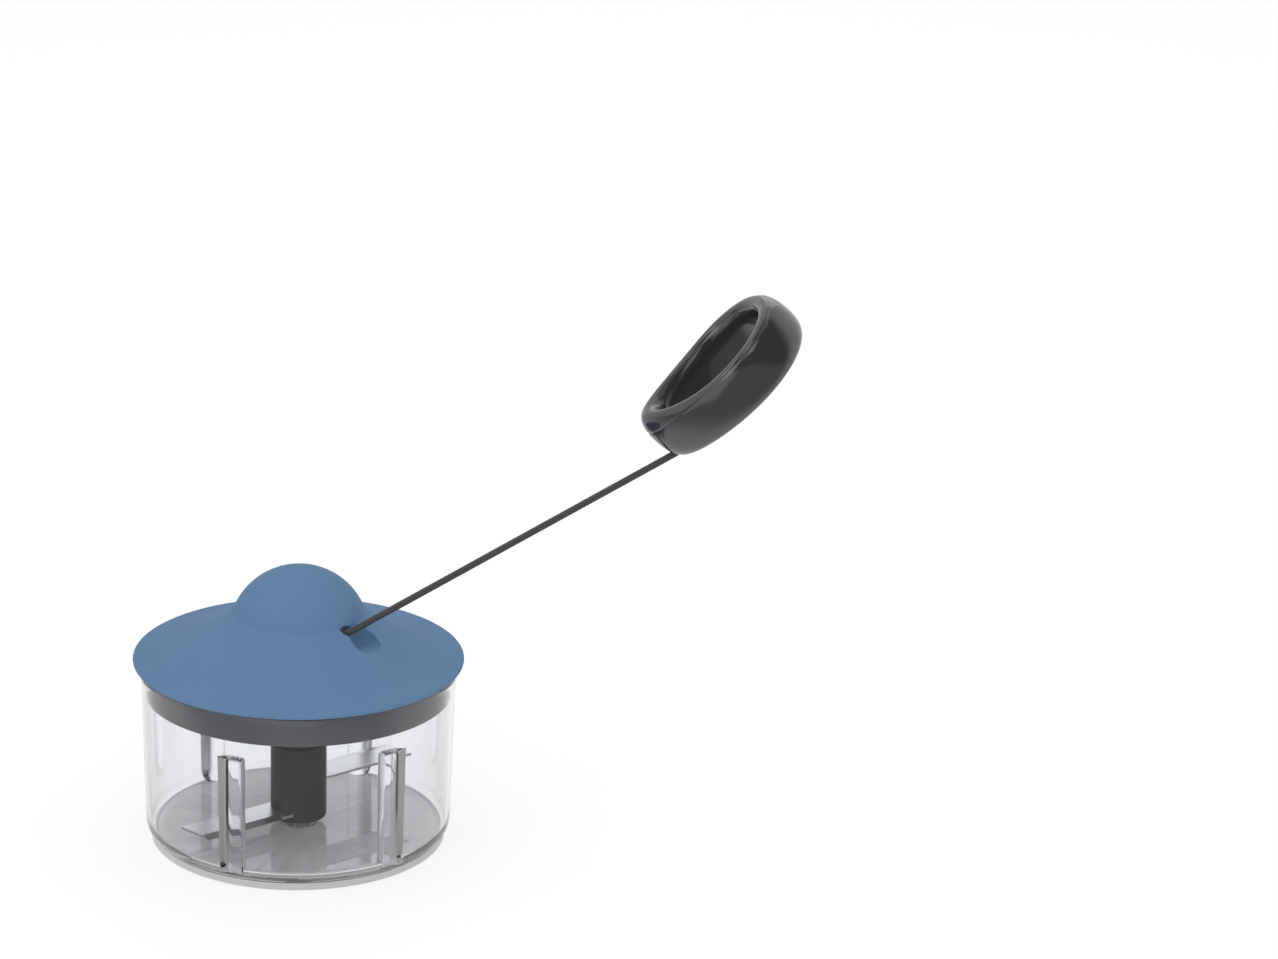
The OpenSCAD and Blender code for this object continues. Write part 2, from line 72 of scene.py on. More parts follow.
# %% [markdown]
# The camera comes first, because everything is judged through it. The picture was taken from far away with a
# long lens, a little above the lid. We could shift the lens to push the chopper into the lower left corner, but
# a shifted lens stays shifted in every other view, so the camera is simply turned away from the object.

# %% Camera
eye = Vector((-0.0012, -1.5169, 0.6578))
look_right, look_down, lean = (math.radians(a) for a in (4.8733, 18.6575, 1.7116))
forward = Vector((
    math.sin(look_right) * math.cos(look_down),
    math.cos(look_right) * math.cos(look_down),
    -math.sin(look_down),
))
level = Vector((math.cos(look_right), -math.sin(look_right), 0))
above = level.cross(forward)
side = math.cos(lean) * level + math.sin(lean) * above
head = math.cos(lean) * above - math.sin(lean) * level
camera_data = bpy.data.cameras.new("camera")
camera_data.lens = 119.56
camera = bpy.data.objects.new("camera", camera_data)
camera.matrix_world = Matrix.Translation(eye) @ Matrix((side, head, -forward)).transposed().to_4x4()
bpy.context.scene.collection.objects.link(camera)
bpy.context.scene.camera = camera
print("camera at", [round(c, 3) for c in eye])

# %% [markdown]
# Every new piece is a skin worked out on a grid of two parameters. One helper turns such a grid into a mesh:
# it could loop over the corners, but numpy makes all the corner numbers at once, which is shorter and fast.
# A pole, where a whole row shares one place, is closed by merging its corners.


# %% A skin on a grid
same_place, no_length = 2e-7, 1e-7


def skin(name, points, wrap_u=False, wrap_v=False, sharp=35, uv=None):
    """Joins corner (u, v) with its neighbours at u + 1 and v + 1; a wrapped side joins its first row again.
    Merges the corners of a pole, turns all faces outwards and keeps edges over `sharp` degrees crisp."""
    rows, columns = points.shape[:2]
    u, v = (g.ravel() for g in np.meshgrid(
        np.arange(rows if wrap_u else rows - 1),
        np.arange(columns if wrap_v else columns - 1),
        indexing="ij",
    ))
    u2, v2 = (u + 1) % rows, (v + 1) % columns
    quads = np.stack([u * columns + v, u2 * columns + v, u2 * columns + v2, u * columns + v2], -1)
    mesh = bpy.data.meshes.new(name)
    mesh.from_pydata(points.reshape(-1, 3).tolist(), [], quads.tolist())
    if uv is not None:
        corner_uv = uv.reshape(-1, 2)[quads]
        corner_uv[v + 1 == columns, 2:, 1] = 1
        mesh.uv_layers.new(name="UVMap").data.foreach_set("uv", corner_uv.ravel())
    work = bmesh.new()
    work.from_mesh(mesh)
    bmesh.ops.remove_doubles(work, verts=work.verts, dist=same_place)
    bmesh.ops.dissolve_degenerate(work, edges=work.edges, dist=no_length)
    bmesh.ops.recalc_face_normals(work, faces=work.faces)
    work.to_mesh(mesh)
    work.free()
    mesh.polygons.foreach_set("use_smooth", np.ones(len(mesh.polygons), dtype=bool))
    mesh.set_sharp_from_angle(angle=math.radians(sharp))
    piece = bpy.data.objects.new(name, mesh)
    bpy.context.scene.collection.objects.link(piece)
    print(name, "faces", len(mesh.polygons))
    return piece


# %% [markdown]
# The cord is a tight braid of thin strands. It could be a plain tube with a bumpy finish, but a close look shows
# the strands in its outline, so the tube's radius itself follows two families of spirals that cross. Its route
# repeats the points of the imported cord: off the drum, through the eyelet, round a bend and straight to the handle,
# where it turns up inside the nose to its knot.

# %% Route of the cord
cord_d = 2.6 * mm
cord_y, cord_z = -18.3 * mm, 88.6 * mm
level_x = np.array([0.2, 6.2, 12.49, 16.49]) * mm
bend_x, bend_radius = 16.985 * mm, 6 * mm
draw_slope, draw_length = math.radians(30.6), 141.7 * mm
first_point, draw_points = 6 * mm, 24
knot_slope, nose_bend = math.radians(100), 3 * mm
knot_rise, knot_half = 6 * mm, 2.1 * mm
draw_way = np.array([math.cos(draw_slope), 0, math.sin(draw_slope)])
knot_way = np.array([math.cos(knot_slope), 0, math.sin(knot_slope)])


def arc(start, first, last, radius, steps=7):
    """A level-to-steep bend from one slope to another: x grows with the sine, z with one less the cosine."""
    turn = np.linspace(first, last, steps)
    x = radius * (np.sin(turn) - math.sin(first))
    z = radius * (math.cos(first) - np.cos(turn))
    return start + np.stack([x, np.zeros(steps), z], -1)


bend = arc(np.array([bend_x, cord_y, cord_z]), 0, draw_slope, bend_radius)
draw_start = bend[-1]
nose_at = draw_start + draw_length * draw_way
knot_at = nose_at + knot_rise * knot_way
nose_reach = nose_bend * math.tan((knot_slope - draw_slope) / 2)
straight = draw_start + np.linspace(first_point, draw_length - nose_reach, draw_points)[:, None] * draw_way
nose_turn = arc(straight[-1], draw_slope, knot_slope, nose_bend)[1:]
lead = np.stack(np.broadcast_arrays(level_x, cord_y, cord_z), -1)
cord_route = np.concatenate([lead, bend, straight, nose_turn, [knot_at - knot_half * knot_way]])
print("cord leaves the lid at", np.round(draw_start, 4), "and ends at", np.round(knot_at, 4))


# %% Braided tube along a route
strands = 6


def braid(name, route, flat, lay=8.4 * mm, step=0.2 * mm, sides=36, relief=0.13):
    """The radius at angle a and length s is half the thickness, less `relief` of it where neither of two families
    of spirals, one turning each way every `lay`, has a ridge. The rings stand across a route whose bends lie
    across the direction `flat`."""
    legs = np.linalg.norm(np.diff(route, axis=0), axis=1)
    length = np.concatenate([[0], np.cumsum(legs)])
    s = np.linspace(0, length[-1], int(length[-1] / step))
    centre = np.stack([np.interp(s, length, route[:, k]) for k in range(3)], -1)
    tangent = np.gradient(centre, axis=0)
    across = np.cross(tangent, flat)
    across /= np.linalg.norm(across, axis=1)[:, None]
    lift = np.cross(tangent, across)
    lift /= np.linalg.norm(lift, axis=1)[:, None]
    a = np.linspace(0, 2 * np.pi, sides, endpoint=False)
    turn = 2 * np.pi * s[:, None] / lay
    ridge = np.maximum(np.cos(strands * (a + turn) / 2) ** 2, np.cos(strands * (a - turn) / 2) ** 2)
    radius = cord_d / 2 * (1 - relief * (1 - ridge))[..., None]
    ring = centre[:, None] + radius * (np.cos(a)[:, None] * across[:, None] + np.sin(a)[:, None] * lift[:, None])
    uv = np.stack(np.broadcast_arrays(s[:, None] / lay, a / (2 * np.pi)), -1)
    caps = np.repeat(centre[[0, -1], None], sides, 1)
    points = np.concatenate([caps[:1], ring, caps[1:]])
    return skin(name, points, wrap_v=True, sharp=60, uv=np.concatenate([uv[:1], uv, uv[-1:]]))


# %% The drawn cord
drawn_cord = braid("drawn_cord", cord_route, (0, 1, 0))
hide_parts("pull_cord", "cord_lead")
tuple(nose_at - 6 * mm * draw_way)
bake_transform(drawn_cord)

# %% Turns left on the drum
wind_radius, wind_pitch = 18.3 * mm, 3.05 * mm
wind_turns, wind_points, wind_end = 52 / 24, 157, math.radians(91)
wind_back = np.linspace(wind_turns, 0, wind_points)
wind_angle = -2 * np.pi * wind_back - wind_end
wind_route = np.stack([
    wind_radius * np.cos(wind_angle), wind_radius * np.sin(wind_angle), cord_z - wind_pitch * wind_back
], -1)
stored_cord = braid("stored_cord", wind_route, (0, 0, 1), step=0.35 * mm, sides=24)
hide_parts("wound_cord")
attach(stored_cord, "reel")
print("turns on the drum:", round(wind_turns, 1))

# %% [markdown]
# The plastics, the steel and the cord get their looks from shader nodes. Nodes could be added and linked one by
# one, but the sums are easier to read as plain expressions, so a small class stands for one socket: adding or
# multiplying it adds a Math node, and one method adds any other kind of node.


# %% Shader sums as expressions
class Wire:
    """One output socket. Sums with it add Math nodes, and a plain number goes straight into their sockets."""

    def __init__(self, tree, socket):
        self.tree, self.socket = tree, socket

    def make(self, kind, settings=(), sockets=(), out=0):
        """Adds a node: first its settings, then values or wires by the name or number of the socket."""
        node = self.tree.nodes.new(kind)
        for key, value in dict(settings).items():
            setattr(node, key, value)
        for key, value in dict(sockets).items():
            if isinstance(value, Wire):
                self.tree.links.new(value.socket, node.inputs[key])
            else:
                node.inputs[key].default_value = value
        return Wire(self.tree, node.outputs[out])

    def math(self, operation, *others):
        return self.make("ShaderNodeMath", {"operation": operation}, dict(enumerate((self,) + others)))

    def __add__(self, other):
        return self.math("ADD", other)

    def __sub__(self, other):
        return self.math("SUBTRACT", other)

    def __rsub__(self, other):
        return (self * -1) + other

    def __mul__(self, other):
        return self.math("MULTIPLY", other)

    __radd__ = __add__
    __rmul__ = __mul__

    def parts(self):
        """The three shares of a direction or a place, each as a wire."""
        split = self.make("ShaderNodeSeparateXYZ", (), {"Vector": self}).socket.node
        return [Wire(self.tree, share) for share in split.outputs]

    def noise(self, scale, detail=2.0, stretch=(1, 1, 1), turn=0.0):
        """Cloudy values near 0.5 on these coordinates, after turning them about Z and stretching the pattern."""
        place = self.make(
            "ShaderNodeMapping", (), {"Vector": self, "Rotation": (0, 0, turn), "Scale": stretch}
        )
        return place.make("ShaderNodeTexNoise", (), {"Vector": place, "Scale": scale, "Detail": detail})

    def between(self, first, second):
        """A colour that goes from the first to the second as this value goes from 0 to 1."""
        return self.make("ShaderNodeMix", {"data_type": "RGBA"}, {0: self, 6: first, 7: second}, out=2)

    def relief(self, strength, depth):
        """A surface normal raised by this value."""
        return self.make("ShaderNodeBump", (), {"Height": self, "Strength": strength, "Distance": depth})


# %% Colours and a material to start from
def paint(red, green, blue, shade=1.0):
    """The linear colour of a screen colour: each channel over 255, raised as the screen curve says, times a shade."""
    c = np.array([red, green, blue]) / 255
    linear = np.where(c <= 0.04045, c / 12.92, ((c + 0.055) / 1.055) ** 2.4)
    return tuple(np.clip(linear * shade, 0, 1)) + (1.0,)


def new_finish(name, constants, coordinate="Object"):
    """A material with plain numbers set on its shader, and a wire of the surface's own coordinates."""
    material = bpy.data.materials.new(name)
    material.use_nodes = True
    tree = material.node_tree
    shader = tree.nodes["Principled BSDF"]
    for key, value in constants.items():
        shader.inputs[key].default_value = value
    place = Wire(tree, tree.nodes.new("ShaderNodeTexCoord").outputs[coordinate])

    def feed(**wires):
        for key, wire in wires.items():
            tree.links.new(wire.socket, shader.inputs[key.replace("_", " ")])

    return material, place, feed


# %% [markdown]
# Most pieces are injection-moulded plastic. A single flat colour would look like paint in a drawing program, so
# each plastic gets a faint cloudiness, a roughness that wanders a little as handling polishes it, and a very
# fine grain from the mould. One recipe serves them all, with its own colour, gloss and grain for each plastic.


# %% Moulded plastics
def moulded(name, colour, gloss, grain=0.04, cloud=0.05, wander=0.06, **constants):
    """Colour: two shades of the same paint mixed by broad noise. Roughness: its mean plus a share of finer noise.
    Normal: raised by grain-sized noise."""
    material, place, feed = new_finish(name, constants)
    broad = place.noise(45, 3.0)
    fine = place.noise(420, 2.0)
    feed(
        Base_Color=broad.between(paint(*colour, shade=1 - cloud), paint(*colour, shade=1 + cloud)),
        Roughness=gloss - wander + fine * wander + broad * wander,
        Normal=place.noise(2600, 1.0).relief(grain, 0.0002),
    )
    print("plastic:", name)
    return material


lid_blue = moulded("lid_blue", (91, 120, 152), 0.6, grain=0.05, **{"Specular IOR Level": 0.03})
band_grey = moulded("band_grey", (72, 73, 76), 0.2, **{"Specular IOR Level": 0.8})
hub_dark = moulded("hub_dark", (53, 54, 55), 0.42, grain=0.06, **{"Specular IOR Level": 0.3})
handle_dark = moulded("handle_dark", (40, 40, 41), 0.12, grain=0.02, cloud=0.08, **{"Specular IOR Level": 0.9})
acetal = moulded("acetal", (226, 223, 214), 0.38)
seal_grey = moulded("seal_grey", (196, 198, 200), 0.6, grain=0.08)
eyelet_black = moulded("eyelet_black", (40, 41, 43), 0.35)

# %% [markdown]
# The bowl is clear styrene plastic with slight haze from washing. We could fake it with see-through paint, but
# then the ribs would not bend the light, so the shader really transmits it. The soft foot is milky silicone: the
# same shader, but it lets only a little light through.

# %% Clear and milky plastics
clear_bowl, place, feed = new_finish(
    "clear_bowl", {"Transmission Weight": 1.0, "IOR": 1.45, "Specular IOR Level": 0.5}
)
haze = place.noise(60, 3.0)
feed(
    Base_Color=haze.between(paint(246, 247, 249), paint(252, 253, 254)),
    Roughness=haze * 0.03 + 0.015,
    Normal=place.noise(180, 1.0).relief(0.006, 0.0003),
)
soft_clear, place, feed = new_finish("soft_clear", {"Transmission Weight": 0.2, "IOR": 1.41})
milk = place.noise(90, 3.0)
feed(
    Base_Color=milk.between(paint(202, 203, 204), paint(210, 210, 211)),
    Roughness=milk * 0.1 + 0.4,
    Normal=place.noise(700, 2.0).relief(0.02, 0.0001),
)
print("clear:", clear_bowl.name, soft_clear.name)

# %% [markdown]
# The blades are rolled stainless sheet with grinding marks that run along the blade. The marks could be a texture
# picture, but noise stretched along the blade's own direction gives them at the right scale, and turning the
# coordinates by the blade's angle lines them up. Pins, screws and the spring are drawn or turned steel.


# %% Steels
def steel(name, colour, gloss, stretch, turn=0.0, marks=0.1):
    """Metal whose roughness and height follow noise drawn out along one direction."""
    material, place, feed = new_finish(name, {"Metallic": 1.0})
    drawn = place.noise(300, 4.0, stretch, turn)
    cloud = place.noise(70, 2.0)
    feed(
        Base_Color=drawn.between(paint(*colour, shade=0.9), paint(*colour, shade=1.06)),
        Roughness=drawn * 0.18 + cloud * 0.06 + (gloss - 0.12),
        Normal=drawn.relief(marks, 0.0001),
    )
    print("steel:", name)
    return material


blade_steel = steel("blade_steel", (226, 227, 228), 0.32, (0.06, 5, 5), math.radians(145))
pin_steel = steel("pin_steel", (200, 201, 204), 0.24, (1, 1, 6))
spring_steel = steel("spring_steel", (168, 170, 174), 0.3, (1, 1, 8))

# %% [markdown]
# The cord's strands are spun nylon. Its colour follows the same spirals as its shape: painted shade makes the
# crossings below nearly black and painted light makes the strand on top paler, with fine fibres along each strand.
# The cord's own map says how far along and how far round a point is, so the pattern bends with the cord.

# %% Braided nylon
cord_dark, place, feed = new_finish("cord_dark", {"Sheen Weight": 0.25, "Sheen Roughness": 0.4}, "UV")
run, round_it = place.parts()[:2]
full_turn = 2 * math.pi
strand_a = ((round_it + run) * (strands * full_turn)).math("COSINE")
strand_b = ((round_it - run) * (strands * full_turn)).math("COSINE")
ridge = strand_a.math("MAXIMUM", strand_b) * 0.5 + 0.5
fibre = place.noise(14, 2.0, (9, 5, 1))
# Painted shade and light: the grooves between the strands are darkened and the ridges lightened in the colour, and
# the same pattern raises the real relief.
strand_shade_and_relief = ridge * 0.75 + fibre * 0.3
feed(
    Base_Color=strand_shade_and_relief.between(paint(17, 18, 18), paint(66, 68, 68)),
    Roughness=0.85 - ridge * 0.2,
    Normal=strand_shade_and_relief.relief(0.3, 0.0001),
)
for piece in (drawn_cord, stored_cord):
    piece.data.materials.append(cord_dark)
print("cord pieces dressed:", drawn_cord.name, stored_cord.name)

# %% [markdown]
# The lid is one blue moulding: a round dome, a hollow flare that runs out to a thin brim, and a round pocket beside
# the dome where the cord comes out. A pocket cut straight into the thin wall would break through it, so the inside
# of the wall first dips below the pocket's place, as a real moulding does, and then the pocket is cut.

# %% Heights of the lid
brim_z, lid_r, lid_wall, edge_r = 71 * mm, 63 * mm, 2.4 * mm, 1.1 * mm
dome_r, dome_z = 26.9 * mm, 81.3 * mm
crease_r, crease_fillet = 0.937 * dome_r, 0.5 * mm
flare_least_r = crease_r * 0.85
flare_start = np.array([crease_r, dome_z + math.sqrt(dome_r ** 2 - crease_r ** 2)])
flare_end = np.array([lid_r - edge_r, brim_z + 2 * edge_r])
flare_radius = 74 * mm
chord = flare_end - flare_start
chord_length = np.linalg.norm(chord)
flare_centre = (flare_start + flare_end) / 2 + math.sqrt(flare_radius ** 2 - chord_length ** 2 / 4) * (
    np.array([-chord[1], chord[0]]) / chord_length
)


def soft_max(a, b, width):
    """The larger of two values, plus a small fillet where they come within `width` of each other."""
    near = np.clip(width - np.abs(a - b), 0, None) / width
    return np.maximum(a, b) + near ** 2 * width / 4


def lathe_height(r, inset):
    """Dome: its centre plus the root of its radius squared less r squared. Flare: its centre less the root of its
    radius squared less the offset squared. The lid is the higher of the two; inset makes the inside of the wall.
    A fillet rounds the crease where they meet."""
    dome = dome_z + np.sqrt(np.clip((dome_r - inset) ** 2 - r ** 2, 0, None))
    flare = flare_centre[1] - np.sqrt(np.clip((flare_radius + inset) ** 2 - (r - flare_centre[0]) ** 2, 0, None))
    dome = np.where(r < dome_r - inset, dome, 0)
    flare = np.where(r > flare_least_r, flare, 0)
    return soft_max(dome, flare, crease_fillet)


lid_top = float(lathe_height(np.array(0.0), 0))
print("lid top", round(lid_top * 1000, 1), "mm, crease at", np.round(flare_start * 1000, 1))

# %% Place of the pocket
pocket_at, pocket_r, pocket_z = np.array([25.0, -19.0]) * mm, 6.4 * mm, 82.6 * mm
pocket_top, pocket_soft = 99 * mm, 2 * mm
hole_start_x, hole_r = 6 * mm, 2.78 * mm
eyelet_reach, reel_clear, climb = 14 * mm, 21.5 * mm, 30


def pocket_under(x, y):
    """The inside's height below the pocket: one wall under its floor within a wall of its rim and of the line
    to the eyelet, and climbing steeply beyond them and towards the reel, so the lathe's own height wins there."""
    back = np.clip(pocket_at[0] - x, 0, eyelet_reach)
    off = np.hypot(x + back - pocket_at[0], y - pocket_at[1]) - pocket_r - lid_wall
    near_reel = reel_clear - np.hypot(x, y)
    return pocket_z - lid_wall + climb * np.clip(off, 0, None) + climb * np.clip(near_reel, 0, None)


# %% Lid cover
def finer(low, high, coarse, fine_low, fine_high, fine):
    """Places from low to high, `coarse` apart, but `fine` apart between two of them."""
    return np.unique(np.concatenate([
        np.linspace(low, fine_low, max(2, int((fine_low - low) / coarse) + 1)),
        np.linspace(fine_low, fine_high, int((fine_high - fine_low) / fine) + 1),
        np.linspace(fine_high, high, max(2, int((high - fine_high) / coarse) + 1)),
    ]))


def lathe(directions, profile_r, profile_z):
    """Carries radii and heights, which may change with the direction, round the axis: one row for each direction."""
    r, z = np.broadcast_arrays(profile_r * np.ones((len(directions), 1)), profile_z)
    return np.stack([r * np.cos(directions)[:, None], r * np.sin(directions)[:, None], z], -1)


pocket_turns = (-66, -16)
spin = np.radians(finer(-180, 180, 1.5, *pocket_turns, 0.75))[:-1]
top_r = finer(0, flare_end[0], 1.1 * mm, 24 * mm, 27 * mm, 0.2 * mm)
edge_turn = np.linspace(np.pi / 2, -np.pi / 2, 9)[1:]
edge = np.stack([flare_end[0] + edge_r * np.cos(edge_turn), brim_z + edge_r + edge_r * np.sin(edge_turn)], -1)
cave_r = 54 * mm
under_r = finer(0, cave_r, 1.5 * mm, 20 * mm, 42 * mm, 0.4 * mm)[::-1]
under_x, under_y = under_r * np.cos(spin)[:, None], under_r * np.sin(spin)[:, None]
hollow = np.minimum(lathe_height(under_r, lid_wall), pocket_under(under_x, under_y))
lid_cover = skin("lid_shell", np.concatenate([
    lathe(spin, top_r, lathe_height(top_r, 0)),
    lathe(spin, edge[:, 0], edge[:, 1]),
    lathe(spin, np.array([cave_r]), np.array([brim_z])),
    lathe(spin, under_r, hollow),
], 1), wrap_u=True, sharp=40)

# %% [markdown]
# The pocket and the cord's hole are cut with Booleans, applied at once so that no live modifier is left on the
# piece. The pocket's cutter has a rounded lower edge, which leaves a soft corner round the pocket's floor.


# %% Cut the pocket and the cord's hole
def tube(name, start, stop, radius, soft=0.0):
    """A closed cylinder: circles of one radius round two places, with its ends drawn to a point. The first end's
    edge is a quarter circle of the radius `soft`."""
    start, stop = np.array(start), np.array(stop)
    way = (stop - start) / np.linalg.norm(stop - start)
    first = np.cross(way, (0, 1, 0) if abs(way[1]) < 0.9 else (1, 0, 0))
    second = np.cross(way, first)
    a = np.linspace(0, 2 * np.pi, 64, endpoint=False)[:, None]
    turn = np.linspace(0, np.pi / 2, 7 if soft else 1)
    radii = np.concatenate([[0], radius - soft + soft * np.sin(turn), [radius, 0]])
    far = np.linalg.norm(stop - start)
    places = np.concatenate([[0], soft * (1 - np.cos(turn)), [far, far]])
    ring = radii[:, None, None] * (np.cos(a) * first + np.sin(a) * second)
    return skin(name, start + places[:, None, None] * way + ring, wrap_v=True)


def cut(piece, tool, sharp=40):
    """Takes the tool's volume out of the piece, removes the tool and sets the piece's smooth shading again."""
    modifier = piece.modifiers.new("cut", "BOOLEAN")
    modifier.operation, modifier.solver, modifier.object = "DIFFERENCE", "EXACT", tool
    bpy.context.view_layer.update()
    result = bpy.data.meshes.new_from_object(piece.evaluated_get(bpy.context.evaluated_depsgraph_get()))
    piece.modifiers.clear()
    piece.data = result
    bpy.data.objects.remove(tool)
    result.polygons.foreach_set("use_smooth", np.ones(len(result.polygons), dtype=bool))
    result.set_sharp_from_angle(angle=math.radians(sharp))
    print(piece.name, "cut, faces", len(result.polygons))


cut(lid_cover, tube("cutter", (*pocket_at, pocket_z), (*pocket_at, pocket_top), pocket_r, pocket_soft))
cut(lid_cover, tube("drill", (hole_start_x, cord_y, cord_z), (pocket_at[0], cord_y, cord_z), hole_r))
lid_cover.data.materials.clear()
lid_cover.data.materials.append(lid_blue)
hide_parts("lid_cover")
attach(lid_cover, "lid")

# %% [markdown]
# The bowl is one clear moulding with four upright ribs that stop the food from riding round with the blades. It
# could be a lathe shape with rib blocks pushed through it, but overlapping clear pieces show each other's inner
# faces. So the bowl is one closed skin: a lathe profile whose inside radius is pulled in at the ribs.

# %% Bowl profile
foot_z, floor_z, rim_z = 1.5 * mm, 4.5 * mm, 70 * mm
rim_r, low_r, bowl_wall, corner = 60.1 * mm, 58.4 * mm, 1.6 * mm, 6 * mm
boss_r = 7 * mm
quarter = np.linspace(-np.pi / 2, 0, 10)


def corner_arc(radius, centre_r, centre_z):
    """A quarter circle from straight down to straight out."""
    return np.stack([centre_r + radius * np.cos(quarter), centre_z + radius * np.sin(quarter)], -1)


inner_corner = corner - bowl_wall
inner_low = low_r - bowl_wall
wall_z = finer(floor_z + inner_corner, rim_z - 0.6 * mm, 2.5 * mm, 46 * mm, 52.5 * mm, 0.35 * mm)[1:]
inner_wall = np.stack([
    inner_low + (rim_r - low_r) * (wall_z - foot_z - corner) / (rim_z - foot_z - corner), wall_z
], -1)
floor_r = finer(boss_r + 0.3 * mm, inner_low - inner_corner, 4 * mm, 48 * mm, 52 * mm, 0.5 * mm)
# A second ring close to the boss keeps its rounding out of the flat floor's shading.
floor_r = np.insert(floor_r, 1, boss_r + 0.6 * mm)
inside = np.concatenate([
    np.array([[0, 7], [6.6, 7], [6.9, 6.9], [7, 6.6], [7, 4.8]]) * mm,
    np.stack([floor_r, np.full(len(floor_r), floor_z)], -1),
    corner_arc(inner_corner, inner_low - inner_corner, floor_z + inner_corner)[1:],
    inner_wall,
])
rim_in = rim_r - bowl_wall
lip = np.array([
    [rim_in + 0.1 * mm, rim_z - 0.1 * mm], [rim_in + 0.4 * mm, rim_z],
    [rim_r - 0.4 * mm, rim_z], [rim_r - 0.1 * mm, rim_z - 0.1 * mm], [rim_r, rim_z - 0.5 * mm],
])
outside = np.concatenate([
    np.stack([np.linspace(rim_r, low_r, 14)[1:-1], np.linspace(rim_z, foot_z + corner, 14)[1:-1]], -1),
    corner_arc(corner, low_r - corner, foot_z + corner)[::-1],
    np.array([[30 * mm, foot_z], [0, foot_z]]),
])
print("bowl profile points:", len(inside) + len(lip) + len(outside))

# %% Ribs
rib_angles = np.radians([-116, -52, 64, 128])
rib_half, rib_in, rib_top, rib_round = 4.3 * mm, 50.8 * mm, 52 * mm, 3 * mm
fine_turn, coarse_from = 5.6, 6.2


def from_rib(directions):
    """The angle from each direction to the nearest rib."""
    return np.abs((directions[:, None] - rib_angles + np.pi) % (2 * np.pi) - np.pi).min(1)


near_rib = np.radians(np.linspace(-fine_turn, fine_turn, 33))
rest_of_it = np.radians(np.arange(-180, 180, 2.5))
clear_of_ribs = from_rib(rest_of_it) > math.radians(coarse_from)
bowl_spin = np.sort(np.concatenate([rest_of_it[clear_of_ribs], (rib_angles[:, None] + near_rib).ravel()]))


def ribbed(r, z):
    """Inside radius: pulled in to the rib's face near a rib. Across the rib, the face curves back as the root of
    one less the offset to the fourth; over its top's rounding as the root of one less the height's share squared."""
    offset = from_rib(bowl_spin)[:, None] * rib_in / rib_half
    across = np.clip(1 - offset ** 4, 0, None) ** 0.5
    upward = np.clip(1 - (np.clip(z - rib_top + rib_round, 0, None) / rib_round) ** 2, 0, None) ** 0.5
    pulled = np.clip(r - rib_in, 0, None) * across * upward
    return np.where(z < rib_top, r - pulled, r)


bowl = skin("bowl_shell", np.concatenate([
    lathe(bowl_spin, ribbed(inside[:, 0], inside[:, 1]), inside[:, 1]),
    lathe(bowl_spin, lip[:, 0], lip[:, 1]),
    lathe(bowl_spin, outside[:, 0], outside[:, 1]),
], 1), wrap_u=True, sharp=50)
bowl.data.materials.append(clear_bowl)
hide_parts("bowl")
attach(bowl, "bowl")
# The renderer lets a clear wall block the lamps. The real bowl hardly does, so it casts no shadow here.
bowl.visible_shadow = bowl.visible_diffuse = False

# %% [markdown]
# Turned and moulded round pieces all share one recipe: a short list of profile corners, each with the size of its
# rounding. Sharp CAD corners catch no light, while a real moulding always has a small radius, so every corner is
# replaced by a curve. A hexagon is the same lathe with its radius divided by the cosine of the angle to its flat.


# %% Round pieces from rounded corners
def rounded(corners, steps=6):
    """Each corner (r, z, size) becomes a curve from `size` before it to `size` after it: the three points' weights
    are (1 - t) squared, 2 t (1 - t) and t squared."""
    p = corners[:, :2]
    before, after = np.roll(p, 1, 0) - p, np.roll(p, -1, 0) - p
    size = corners[:, 2:3]
    start = p + before / np.maximum(np.linalg.norm(before, axis=1)[:, None], 1e-9) * size
    stop = p + after / np.maximum(np.linalg.norm(after, axis=1)[:, None], 1e-9) * size
    t = np.linspace(0, 1, steps)[None, :, None]
    curve = (1 - t) ** 2 * start[:, None] + 2 * t * (1 - t) * p[:, None] + t ** 2 * stop[:, None]
    return curve.reshape(-1, 2)


def turned(name, corners, material, body, node, hexed=None, closed=True, sides=128, sharp=50):
    """A lathe of the rounded corners in millimetres. Where a corner is marked hexed, its radius is that of the
    flats, divided at each direction by the cosine of the angle to the nearest flat's middle."""
    corners = np.array(corners, dtype=float) * mm
    profile = rounded(corners)
    a = np.linspace(0, 2 * np.pi, sides, endpoint=False)
    r = profile[:, 0]
    if hexed is not None:
        flag = np.repeat(np.array(hexed, dtype=float), len(profile) // len(corners))
        r = r * (1 + flag * (1 / np.cos(a % (np.pi / 3) - np.pi / 6) - 1)[:, None])
    piece = skin(name, lathe(a, r, profile[:, 1]), wrap_u=True, wrap_v=closed, sharp=sharp)
    piece.data.materials.append(material)
    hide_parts(node)
    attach(piece, body)
    return piece


# %% [markdown]
# Under the lid, a grey moulding closes the reel's housing: its outer band shows through the bowl's rim, and its
# flat deck shows from below with four screw heads. The blade unit's hub carries a hexagonal socket, and the shaft
# under the lid ends in the dog that drops into it. All of these are turned from their corners.

# %% Inner body of the lid
band = turned("lid_band", [
    (9, 58.6, 0.3), (57.9, 58.6, 0.9), (57.9, 71, 0.2), (55.9, 71, 0.2), (55.9, 61.1, 0.5), (28, 61.1, 0.5),
    (28, 77, 0.3), (26, 77, 0.3), (26, 61.1, 0.3), (12, 61.1, 0.3), (12, 65.1, 0.3), (9, 65.1, 0.3),
], band_grey, "lid", "lid_base")
screw_turns, screw_ring, recess_r = np.radians([45, 135, 225, 315]), 40 * mm, 3.2 * mm
recess_low, recess_high = 58 * mm, 60 * mm
for x, y in screw_ring * np.stack([np.cos(screw_turns), np.sin(screw_turns)], -1):
    cut(band, tube("recess", (x, y, recess_low), (x, y, recess_high), recess_r), sharp=50)
print("screw recesses:", len(screw_turns))

